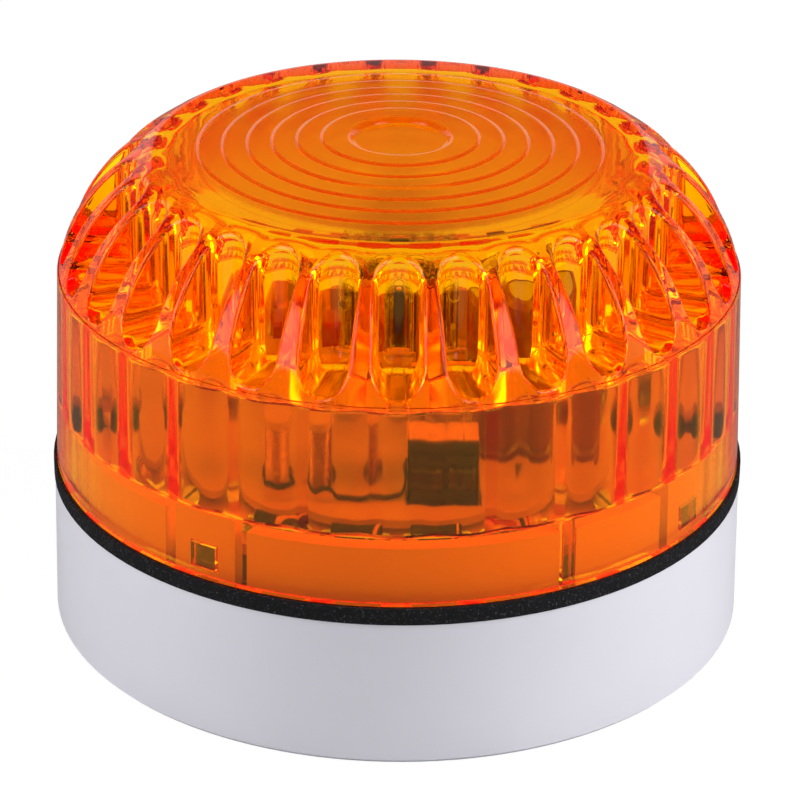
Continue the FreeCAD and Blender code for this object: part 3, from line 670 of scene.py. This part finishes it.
def lowerProfile(form):
    # rows of (radius along the azimuth, level, satin) from the skirt's top round the lip to the inner crown
    look = form.look
    ridge = form.topRadius - look["wall"]
    flute = look["fluteRoot"] - look["wall"]
    bore, boreTop, ledge = look["boreRadius"], look["boreTop"], form.floor - look["wall"]
    top, bottom = form.topRadius, form.bottomRadius

    def scallop(azimuth):
        return form.waved(azimuth, ridge, ridge - look["scallop"], look["scallopCrest"])

    def wave(azimuth):
        return form.waved(azimuth, flute, flute + look["wave"], look["waveCrest"])

    def midway(azimuth):
        return (scallop(azimuth) + wave(azimuth)) / 2

    def fixed(radius):
        return lambda azimuth: radius

    def shifted(radiusAt, shift):
        return lambda azimuth: radiusAt(azimuth) + shift

    def eased(share, shift):
        # from the waved wall to a plain circle at the ceiling
        return lambda azimuth: wave(azimuth) * (1 - share) + (flute + look["waveCrest"]) * share + shift

    edge, edgeMiddle = look["skirtEdge"]
    outside = [(fixed(top - edge), form.skirtTop), (fixed(top - edgeMiddle), form.skirtTop - edgeMiddle),
               (fixed(top), form.skirtTop - edge)]
    for share in (0.33, 0.66):
        level = form.skirtTop + (form.bottom - form.skirtTop) * share
        outside.append((fixed(top + (bottom - top) * share), level))
    lip, lipMiddle, lipDraft = look["lipEdge"]
    outside += [(fixed(bottom - lipDraft), form.bottom + lip), (fixed(bottom - lipMiddle), form.bottom + lipMiddle),
                (fixed(bottom - lip), form.bottom)]
    mouth = look["boreEdge"]
    cove, coveMiddle = look["cove"]
    bead, beadMiddle = look["bead"]
    inside = [(fixed(bore + mouth), form.bottom), (fixed(bore), form.bottom + mouth), (fixed(bore), boreTop),
              (shifted(scallop, mouth), boreTop), (scallop, boreTop + mouth), (scallop, ledge - cove),
              (shifted(scallop, -coveMiddle), ledge - coveMiddle), (shifted(scallop, -cove), ledge), (midway, ledge),
              (shifted(wave, bead), ledge), (shifted(wave, beadMiddle), ledge + beadMiddle), (wave, ledge + bead)]
    bends, corner = lensSteps["round"], look["crownRound"]
    inner = []
    for part in range(bends + 1):
        angle = math.pi / 2 * part / bends
        inner.append((eased(part / bends, corner * (math.cos(angle) - 1)),
                      form.ceiling - corner * (1 - math.sin(angle))))
    rings, margin = look["plateau"] - look["crownLand"], look["ringMargin"]
    inner.append((fixed(rings + margin), form.ceiling))
    underRings = [(fixed(radius), form.ceiling) for radius in (rings - margin, rings / 2, 0.0)]
    parts = ((outside, 0.0), (inside, look["skirtSatin"]), (inner, look["roundSatin"]),
             (underRings, look["ringSatin"]))
    return [(*row, satin) for rows, satin in parts for row in rows]


def lensSector(form):
    points, faces, inner = [], [], []

    def patch(rows, satin, flip=False):
        start, width = len(points), len(rows[0])
        for row, share in zip(rows, satin):
            points.extend(row)
            inner.extend([share] * width)
        for i in range(len(rows) - 1):
            for j in range(width - 1):
                corner = start + i * width + j
                quad = (corner, corner + width, corner + width + 1, corner + 1)
                faces.append(quad[::-1] if flip else quad)

    arc = lensSteps["arc"]
    azimuths = [form.half * step / arc for step in range(-arc, arc + 1)]
    crown = crownProfile(form)
    patch([[around(azimuth, radius, level) for azimuth in azimuths] for radius, level in crown], [0.0] * len(crown))
    half = fluteHalf(form)
    for side in (1, -1):
        sheet = [[(side * spot.y, -spot.x, level) for spot, level in row] for row in half]
        patch(sheet, [0.0] * len(half), side < 0)
    right = [(spot.y, -spot.x, level) for spot, level in half[-1]]
    rim = [(-x, y, level) for x, y, level in right[:0:-1]] + right
    turns = [math.degrees(math.atan2(x, -y)) for x, y, level in rim]
    rows, satin = [rim], [0.0]
    for share in (0.5, 1.0):
        heights = [level + (form.skirtTop - level) * share for x, y, level in rim]
        rows.append([around(turn, form.domeRadius(height), height) for turn, height in zip(turns, heights)])
        satin.append(0.0)
    for radiusAt, level, share in lowerProfile(form):
        rows.append([around(turn, radiusAt(turn), level) for turn in turns])
        satin.append(share)
    patch(rows, satin)
    piece = meshPiece("lensShell", points, faces)
    mark = piece.data.attributes.new("inner", "FLOAT", "POINT")
    mark.data.foreach_set("value", inner)
    return piece


lensForm = LensForm(lensLook)
lensShell = lensSector(lensForm)
grow(lensShell, turnedCopies, "amber_acrylic", {"Count": lensLook["flutes"], "Weld": lensLook["weld"] * mm})
smooth(lensShell)
dress(lensShell, "lens", "amber_acrylic", "lens")
print("lens:", len(lensShell.data.polygons), "faces")


# Catches and key inside the lens bore

catchLook = {"count": 4, "azimuth": -33.0, "width": 3.8, "depth": 1.2, "low": 0.8, "height": 3.4, "ramp": 0.7,
             "keyAzimuth": 29.0, "keyWidth": 1.6, "keyRamp": 0.3, "keyMargin": 0.05, "gap": 0.03}


def latchBlock(azimuth, width, low, high, ramp):
    outer = lensLook["boreRadius"] - catchLook["gap"]
    inner = lensLook["boreRadius"] - catchLook["depth"]
    points = []
    for side in (-1, 1):
        for radius, level in ((outer, low), (inner + ramp, low), (inner, low + ramp), (inner, high), (outer, high)):
            spot = Vector((side * width / 2, -math.sqrt(radius ** 2 - width ** 2 / 4), level))
            points.append(tuple(Matrix.Rotation(math.radians(azimuth), 3, "Z") @ spot))
    count = len(points) // 2
    faces = [tuple(range(count)), tuple(range(2 * count - 1, count - 1, -1))]
    for i in range(count):
        following = (i + 1) % count
        faces.append((following, i, count + i, count + following))
    return points, faces


def lensCatches():
    look = catchLook
    low = lensForm.bottom + look["low"]
    blocks = [latchBlock(look["azimuth"] + step * 360 / look["count"], look["width"], low, low + look["height"],
                         look["ramp"]) for step in range(look["count"])]
    blocks.append(latchBlock(look["keyAzimuth"], look["keyWidth"], lensForm.bottom + look["keyMargin"],
                             lensLook["boreTop"] - look["keyMargin"], look["keyRamp"]))
    piece = meshPiece("lensCatches", *gathered(blocks))
    outward(piece)
    dress(piece, "lens", "amber_acrylic")


lensCatches()


# Carried-over solids, merged and shaded smooth

terminalWays = 4
baseNodes = {
    "base_housing": "white_plastic", "snap_tongues": "white_plastic", "lens_gasket": "foam_rubber",
    "cable_grommet": "black_rubber", "driver_board": "board_laminate", "board_screws": "zinc_steel",
    "reflector_plate": "reflector_white", "flash_tube": "flash_glass", "flash_tube_electrodes": "nickel_wire",
    "flash_tube_holder": "white_ceramic", "trigger_band": "nickel_wire", "storage_capacitor_can": "can_aluminium",
    "storage_capacitor_sleeve": "brown_sleeve", "transformer_core": "ferrite", "transformer_bobbin": "black_nylon",
    "transformer_winding": "dark_tape", "trigger_coil_bobbin": "natural_nylon",
    "trigger_coil_winding": "copper_wire", "trigger_capacitor": "red_epoxy", "input_capacitor": "blue_sleeve",
    "surge_varistor": "ochre_coating", "switching_transistor": "black_epoxy",
    "switching_transistor_metal": "tinned_metal", "power_resistor": "resistor_coat",
    "rectifier_diodes": "black_epoxy", "bias_resistors": "beige_coat", "component_leads": "tinned_metal",
    "terminal_block": "natural_nylon", "terminal_contacts": "tinned_metal",
}


def carryOver(node, body, slot):
    words = node.split("_")
    name = words[0] + "".join(word.capitalize() for word in words[1:])
    dress(mergedCopy(node, name), body, slot, node)


for node, slot in baseNodes.items():
    carryOver(node, "base", slot)
for way in range(1, terminalWays + 1):
    carryOver(f"terminal_clamp_{way}", f"clamp_{way}", "brass")
    carryOver(f"terminal_screw_{way}", f"screw_{way}", "zinc_steel")
print("carried-over solids dressed")


# Wound wire on the flash tube and the trigger coil

woundLook = {"tubeTurns": 5.0, "tubeStart": 45.0, "tubeEnd": 0.5, "tubeWire": 0.16, "coilWire": 0.2,
             "coilSink": 0.6, "sides": 6}


def wound(name, slot, radius, rise, turns, wire, place):
    grown(name, coiledWire, slot, {"Turns": turns, "Radius": radius * mm, "Rise": rise * mm, "Wire": wire * mm,
                                   "Sides": woundLook["sides"], "Place": list(place)})


def tubeWires():
    low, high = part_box("flash_tube")
    wire, start = woundLook["tubeWire"], woundLook["tubeStart"]
    radius = (high.y - low.y) / 2 / mm
    rise = high.z / mm - nodeRadius("flash_tube") / mm - woundLook["tubeEnd"] - start
    for side, leg in (("Left", low.x + radius * mm), ("Right", high.x - radius * mm)):
        wound("triggerWire" + side, "nickel_wire", radius + wire, rise, woundLook["tubeTurns"], wire,
              (leg, nodeCentre("flash_tube").y, start * mm))


def coilWire():
    low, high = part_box("trigger_coil_winding")
    wire = woundLook["coilWire"]
    centre = nodeCentre("trigger_coil_winding")
    rise = (high.z - low.z) / mm - wire * 2
    wound("triggerCoilTurns", "copper_wire", nodeRadius("trigger_coil_winding") / mm + wire * woundLook["coilSink"],
          rise, rise / wire / 2, wire, (centre.x, centre.y, low.z + wire * mm))


tubeWires()
coilWire()
print("wound wire done")


# Small driver parts: solder, colour bands, core tape and the pulse wire

driverLook = {
    "jointWidth": 2.3, "jointHeight": 1.5, "footReach": 0.1, "footSpacing": 1.5,
    "bandProud": 0.04, "bandWidth": 0.09, "bandCore": 0.9, "bandSides": 28, "diodeBand": 0.34,
    "tapeProud": 0.08, "tapeShare": 0.8, "tapeCore": 0.96,
    "tapeBend": ((0.05, 0.03), (0.25, 0.0)), "tapeDrop": 0.2,  # run and drop at the core's upper edges
    "wire": 0.36, "wireSides": 10,
}
resistorBands = {"red_epoxy": (-0.30, 0.04), "black_epoxy": (-0.13,), "brass": (0.30,)}
pulseRoute = [(-15.2, -24.4, 30.3), (-15.7, -27.0, 30.7), (-14.4, -28.9, 31.5), (-12.0, -29.6, 30.7),
              (-9.6, -29.8, 31.3), (-7.6, -29.8, 31.1), (-6.3, -29.6, 30.1), (-4.0, -29.5, 29.8),
              (-1.0, -29.4, 30.0), (1.4, -29.0, 30.3), (2.5, -27.6, 31.6), (2.8, -25.8, 33.8)]


def islands(node):
    # the points of each separate solid in a node
    work = bmesh.new()
    work.from_mesh(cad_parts[node].data)
    bmesh.ops.remove_doubles(work, verts=work.verts, dist=weld)
    groups, seen = [], set()
    for first in work.verts:
        waiting, group = [first] if first not in seen else [], []
        seen.add(first)
        while waiting:
            vert = waiting.pop()
            group.append(vert.co / mm)
            fresh = [edge.other_vert(vert) for edge in vert.link_edges if edge.other_vert(vert) not in seen]
            seen.update(fresh)
            waiting += fresh
        if group:
            groups.append(group)
    work.free()
    return groups


def solderJoints():
    look = driverLook
    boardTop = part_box("driver_board")[1].z / mm
    feet = []
    for group in islands("component_leads"):
        for point in group:
            spot = Vector((point.x, point.y, boardTop))
            alone = all((spot - other).length > look["footSpacing"] for other in feet)
            if alone and point.z - boardTop < look["footReach"]:
                feet.append(spot)
    sizes = {"Width": look["jointWidth"] * mm, "Height": look["jointHeight"] * mm}
    grown("solderJoints", scatteredJoints, "tinned_metal", sizes, feet)
    return len(feet)


def bandRing(group, axis, share):
    sides = driverLook["bandSides"]
    levels = [point.z for point in group]
    reach = [point.dot(axis) for point in group]
    length = max(reach) - min(reach)
    middle = sum(group, Vector()) / len(group)
    middle += axis * ((max(reach) + min(reach)) / 2 + share * length - middle.dot(axis))
    middle.z = (max(levels) + min(levels)) / 2
    outer = (max(levels) - min(levels)) / 2 + driverLook["bandProud"]
    inner = outer * driverLook["bandCore"]
    across = axis.cross(Vector((0, 0, 1)))
    corners = ((outer, -0.5), (outer, 0.5), (inner, 0.5), (inner, -0.5))
    count = len(corners)
    points, faces = [], []
    for turn in range(sides):
        angle = 2 * math.pi * turn / sides
        ray = across * math.cos(angle) + Vector((0, 0, math.sin(angle)))
        points += [middle + ray * radius + axis * shift * driverLook["bandWidth"] * length
                   for radius, shift in corners]
        here, there = count * turn, count * ((turn + 1) % sides)
        for corner in range(count):
            following = (corner + 1) % count
            faces.append((here + corner, here + following, there + following, there + corner))
    return points, faces


def tangent(group):
    middle = sum(group, Vector()) / len(group)
    return Vector((-middle.y, middle.x, 0)).normalized()


def coreTape():
    look = driverLook
    low, high = (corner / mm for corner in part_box("transformer_core"))
    proud, top = look["tapeProud"], high.z + look["tapeProud"]
    half = (high.y - low.y) / 2 * look["tapeShare"]
    middle = (high.y + low.y) / 2
    left = [(low.x - proud, low.z), (low.x - proud, high.z - look["tapeDrop"])]
    left += [(low.x + run, top - drop) for run, drop in look["tapeBend"]]
    outer = left + [(low.x + high.x - x, z) for x, z in reversed(left)]
    centre = Vector(((low.x + high.x) / 2, low.z))
    inner = [tuple(centre + (Vector(spot) - centre) * look["tapeCore"]) for spot in outer]
    loop = outer + inner[::-1]
    points = [(x, middle + side * half, z) for side in (-1, 1) for x, z in loop]
    count = len(loop)
    faces = []
    for i in range(count):
        following = (i + 1) % count
        faces.append((i, following, count + following, count + i))
    for i in range(len(outer) - 1):
        quad = (i, i + 1, count - 2 - i, count - 1 - i)
        faces += [quad, tuple(count + index for index in reversed(quad))]
    closedPiece("coreTape", "pale_tape", points, faces)


def pulseWire():
    sizes = {"Wire": driverLook["wire"] * mm, "Sides": driverLook["wireSides"]}
    steps = [(i, i + 1) for i in range(len(pulseRoute) - 1)]
    grown("pulseWire", routedWire, "black_rubber", sizes, pulseRoute, steps)


jointCount = solderJoints()
resistors = [(group, tangent(group)) for group in islands("bias_resistors")]
resistors += [(group, Vector((0, 1, 0))) for group in islands("power_resistor")]
for slot, shares in resistorBands.items():
    rings = [bandRing(*body, share) for body in resistors for share in shares]
    closedPiece("resistorBands_" + slot, slot, *gathered(rings))
rings = [bandRing(group, tangent(group), driverLook["diodeBand"]) for group in islands("rectifier_diodes")]
closedPiece("diodeBands", "white_ceramic", *gathered(rings))
coreTape()
pulseWire()
print("driver parts:", jointCount, "solder joints,", len(resistors), "banded resistors")


# Studio: floor, backdrop light, lamps and camera

floorLook = {"size": 6.0, "gap": 0.00005, "cloud": 3.0, "dim": (0.60, 0.60, 0.61), "body": (0.64, 0.64, 0.65),
             "rough": 0.7, "glow": 0.92, "white": 1.04, "gloss": 0.15, "through": 1.2}


def studioFloor():
    look = floorLook
    half, level = look["size"] / 2 / mm, (cadBox[0].z - look["gap"]) / mm
    corners = [(x * half, y * half, level) for x, y in ((-1, -1), (1, -1), (1, 1), (-1, 1))]
    floor = meshPiece("studioFloor", corners, [(0, 1, 2, 3)])
    finish = Finish("paleFloor")
    finish.set(Base_Color=finish.ramp(finish.noise(look["cloud"]), look["dim"], look["body"]),
               Roughness=look["rough"])
    # rays that see the floor find an even glow, and the others its own colour
    rays = finish.add("LightPath").outputs
    seen = finish.sums("MAXIMUM", rays["Is Camera Ray"], rays["Is Transmission Ray"])
    seen = finish.sums("MAXIMUM", seen, rays["Is Glossy Ray"])
    straight = finish.sums("MULTIPLY", rays["Is Camera Ray"], look["white"])
    beyond = finish.sums("MULTIPLY", rays["Is Transmission Ray"], look["through"])
    strength = finish.sums("MAXIMUM", finish.sums("MAXIMUM", straight, look["gloss"]), beyond)
    finish.swapped(finish.sums("MULTIPLY", seen, look["glow"]), finish.add("Emission", Strength=strength))
    floor.data.materials.append(finish.material)


# Pairs are the start and end of a fall along one axis of the view direction
worldLook = {
    "low": 0.24, "high": 0.04, "fall": (0.05, 0.35),
    "backdrop": 0.56, "backdropTop": (0.333, 0.350), "front": 0.1, "frontFall": (-0.5, 0.1),
    "panel": 2.0, "panelSide": (0.30, 0.45), "panelFoot": (0.20, 0.30), "panelHead": (0.70, 0.80),
    "panelBack": (-0.30, -0.15),
    "through": 1.2, "throughHigh": 1.0, "throughFall": (0.10, 0.55),
}


def studioWorld():
    look = worldLook
    world = bpy.data.worlds.new("studioWorld")
    bpy.context.scene.world = world
    world.use_nodes = True
    tree = world.node_tree
    tree.nodes.clear()
    direction = tree.nodes.new("ShaderNodeTexCoord").outputs["Generated"]
    across, depth, height = addNode(tree, "ShaderNodeSeparateXYZ", Vector=direction).outputs
    rays = tree.nodes.new("ShaderNodeLightPath").outputs

    def ramped(source, fall, low, high):
        start, end = fall
        node = addNode(tree, "ShaderNodeMapRange", Value=source, From_Min=start, From_Max=end, To_Min=low, To_Max=high)
        node.interpolation_type = "SMOOTHSTEP"
        return node.outputs["Result"]

    def times(first, second):
        return addMath(tree, "MULTIPLY", first, second)

    def choose(ray, plain, seen):
        return addNode(tree, "ShaderNodeMix", Factor=rays[ray], A=plain, B=seen).outputs["Result"]

    # reflections find a low white backdrop behind, two panels at the front quarters and the dark camera side
    backdrop = times(ramped(height, look["backdropTop"], look["backdrop"], look["high"]),
                     ramped(depth, look["frontFall"], look["front"], 1.0))
    panels = times(ramped(height, look["panelFoot"], 0.0, 1.0), ramped(height, look["panelHead"], 1.0, 0.0))
    panels = times(ramped(addMath(tree, "ABSOLUTE", across), look["panelSide"], 0.0, look["panel"]), panels)
    panels = times(panels, ramped(depth, look["panelBack"], 1.0, 0.0))
    plain = ramped(height, look["fall"], look["low"], look["high"])
    lit = choose("Is Glossy Ray", plain, addMath(tree, "MAXIMUM", backdrop, panels))
    beyond = ramped(height, look["throughFall"], look["through"], look["throughHigh"])
    lit = choose("Is Transmission Ray", lit, beyond)
    strength = addMath(tree, "MAXIMUM", lit, rays["Is Camera Ray"])
    background = addNode(tree, "ShaderNodeBackground", Color=(1, 1, 1, 1), Strength=strength)
    addNode(tree, "ShaderNodeOutputWorld", Surface=background.outputs[0])


lampAim = (0, 0, 0.035)
lamps = {
    "leftSoftbox": {"place": (-0.74, -0.06, 0.43), "size": (0.45, 0.90), "power": 5.9, "through": True},
    "rightSoftbox": {"place": (0.70, -0.12, 0.44), "size": (0.45, 0.75), "power": 7.2, "through": True},
    "overhead": {"place": (0.0, 0.05, 0.95), "size": (0.6, 0.5), "power": 2.6, "through": False},
    "frontFill": {"place": (0.0, -0.62, 0.50), "size": (0.6, 0.4), "power": 1.5, "through": False},
}


def studioLamps():
    for name, look in lamps.items():
        lamp = bpy.data.lights.new(name, "AREA")
        lamp.shape = "RECTANGLE"
        lamp.size, lamp.size_y = look["size"]
        lamp.energy = look["power"]
        holder = placed(name, lamp)
        holder.location = look["place"]
        holder.rotation_euler = (Vector(lampAim) - Vector(look["place"])).to_track_quat("-Z", "Y").to_euler()
        holder.visible_glossy = False  # reflections show the world's backdrop and panels
        holder.visible_transmission = look["through"]


cameraLook = {"distance": 0.4964, "elevation": 26.69, "target": 0.021, "pitch": 0.945, "yaw": 0.041, "roll": 0.596,
              "lens": 156.3, "clip": (0.01, 20.0)}


def studioCamera():
    look = cameraLook
    rise, yaw, roll = (math.radians(look[label]) for label in ("elevation", "yaw", "roll"))
    dip = rise - math.radians(look["pitch"])
    forward = Vector((math.sin(yaw) * math.cos(dip), math.cos(yaw) * math.cos(dip), -math.sin(dip)))
    turn = forward.to_track_quat("-Z", "Y").to_matrix() @ Matrix.Rotation(roll, 3, "Z")
    camera = bpy.data.cameras.new("photoCamera")
    camera.lens = look["lens"]
    camera.clip_start, camera.clip_end = look["clip"]
    holder = placed("photoCamera", camera)
    holder.location = (0, -math.cos(rise) * look["distance"], look["target"] + math.sin(rise) * look["distance"])
    holder.rotation_euler = turn.to_euler()
    bpy.context.scene.camera = holder


studioFloor()
studioWorld()
studioLamps()
studioCamera()
scene = bpy.context.scene
scene.view_settings.view_transform = "Standard"
# light crosses many walls of the lens
scene.cycles.max_bounces = 32
scene.cycles.glossy_bounces = 24
scene.cycles.transmission_bounces = 24
scene.cycles.transparent_max_bounces = 32
print("studio ready")
